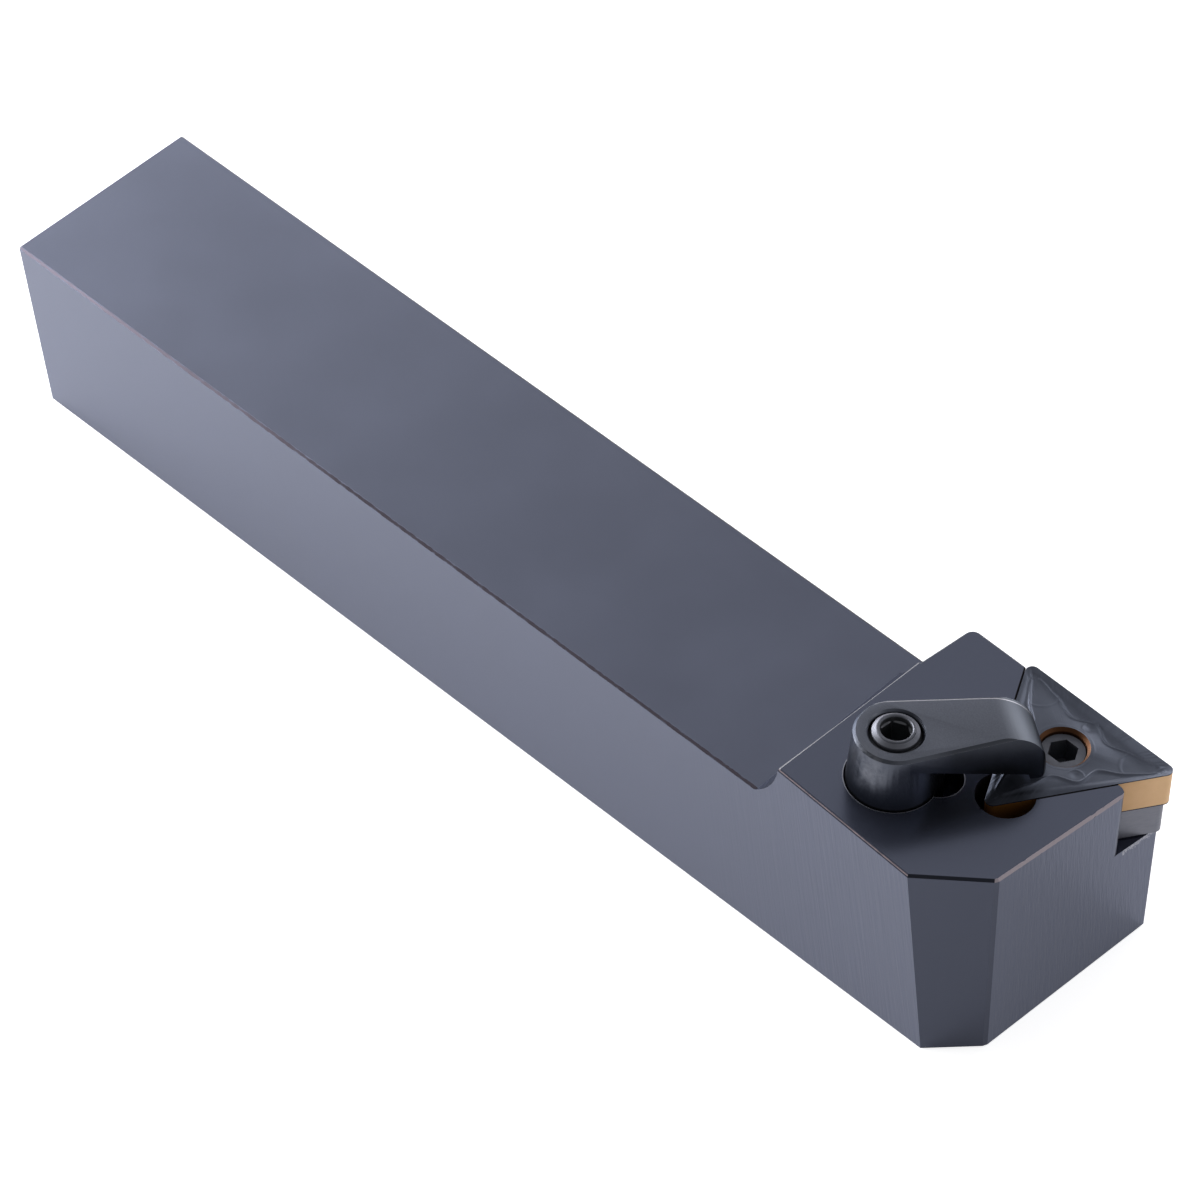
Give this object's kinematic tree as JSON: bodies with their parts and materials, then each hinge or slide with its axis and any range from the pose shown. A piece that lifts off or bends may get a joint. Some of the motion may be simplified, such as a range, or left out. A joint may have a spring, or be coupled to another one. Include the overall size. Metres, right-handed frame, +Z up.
{
  "type": "indexable turning tool",
  "caption": "Turning tool with a square shank, a tilted head and a triangular insert held by a lock pin and a finger clamp.",
  "frame": {"origin": "centre of the face that the shank rests on", "axes": "+X along the shank to the cutting corner, +Y to the side the tool cuts on, +Z up from the seat face"},
  "size_m": [0.1566, 0.0319, 0.0374],
  "materials": {
    "black_steel": "satin black oxide",
    "carbide": "coated carbide, dark top and gold flanks",
    "shim_carbide": "ground",
    "pin_steel": "satin",
    "clamp_steel": "glossy black oxide",
    "screw_steel": "black oxide"
  },
  "bodies": {
    "root": {"holder": "black_steel", "shim": "shim_carbide", "insert": "carbide", "lock_pin": "pin_steel", "clamp": "clamp_steel", "clamp_screw": "screw_steel"}
  },
  "joints": []
}
